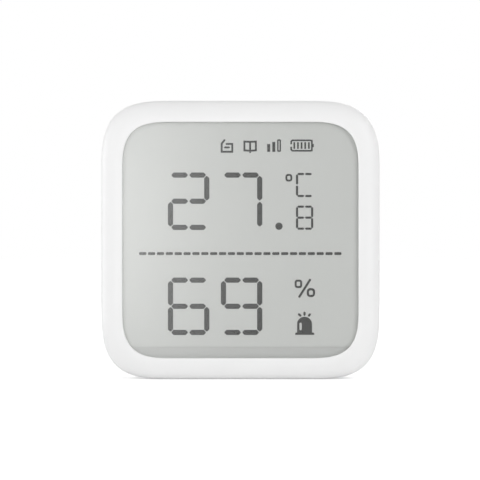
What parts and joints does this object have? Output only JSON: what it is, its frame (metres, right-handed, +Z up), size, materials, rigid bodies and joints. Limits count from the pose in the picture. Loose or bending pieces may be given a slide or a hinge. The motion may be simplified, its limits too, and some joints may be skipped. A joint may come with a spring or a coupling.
{
  "type": "temperature humidity sensor",
  "caption": "Square room sensor with soft corners, a pale rim and a segment display of temperature and humidity, with a swing-off rear cover over its cells",
  "frame": {"origin": "middle of the bottom, where the part stands", "axes": "+X to the viewer's right across the display, +Y from the display to the rear cover, +Z up"},
  "size_m": [0.061, 0.0226, 0.061],
  "materials": {
    "white_shell": "fine satin moulded white",
    "pale_tape": "pale matt foam tape",
    "clear_lens": "clear and glossy",
    "display_film": "fine grey anti-glare film",
    "segment_ink": "dark display segments under the film's haze",
    "display_glass": "clear thin glass",
    "display_ground": "fine grey diffusing film",
    "grey_frame": "moulded light grey",
    "contact_rubber": "layered silicone",
    "board_laminate": "green solder mask",
    "chip_resin": "dark moulded resin",
    "bright_steel": "plated steel",
    "pale_ceramic": "fine fired ceramic",
    "tan_ceramic": "fine fired ceramic",
    "black_foam": "closed-cell foam",
    "grey_button": "satin grey",
    "white_chassis": "plain moulded white",
    "contact_plate": "nickel-plated sheet",
    "spring_wire": "nickel-plated wire",
    "cell_steel": "bright plated can",
    "cell_jacket": "glossy plain shrink film"
  },
  "bodies": {
    "body": {"front_housing": "white_shell", "lens_tape": "pale_tape", "display_lens": "clear_lens", "lcd_polariser": "display_film", "lcd_front_glass": "display_glass", "lcd_rear_glass": "display_glass", "lcd_reflector": "display_ground", "lcd_carrier": "grey_frame", "zebra_strip": "contact_rubber", "main_board": "board_laminate", "microcontroller": "chip_resin", "clock_crystal": "bright_steel", "chip_antenna": "pale_ceramic", "board_capacitors": "tan_ceramic", "sensor_chip": "chip_resin", "sensor_gasket": "black_foam", "switch_body": "chip_resin", "rear_chassis": "white_chassis", "chassis_screws": "bright_steel", "positive_contact": "contact_plate", "negative_contact": "contact_plate", "negative_spring": "spring_wire", "contact_bridge": "contact_plate", "bridge_spring": "spring_wire", "upper_cell": "cell_steel", "upper_cell_jacket": "cell_jacket", "lower_cell": "cell_steel", "lower_cell_jacket": "cell_jacket"},
    "cover": {"rear_cover": "white_shell"},
    "button": {"pair_button": "grey_button", "switch_plunger": "chip_resin"}
  },
  "joints": [
    {"name": "cover_swing", "type": "hinge", "parent": "body", "child": "cover", "pos_m": [0, 0.00725, 0.061], "axis": [1, 0, 0], "range_deg": [0, 30]},
    {"name": "button_press", "type": "slide", "parent": "body", "child": "button", "axis": [0, -1, 0], "range_m": [0, 0.0004], "stiffness_N_per_m": 2000}
  ]
}
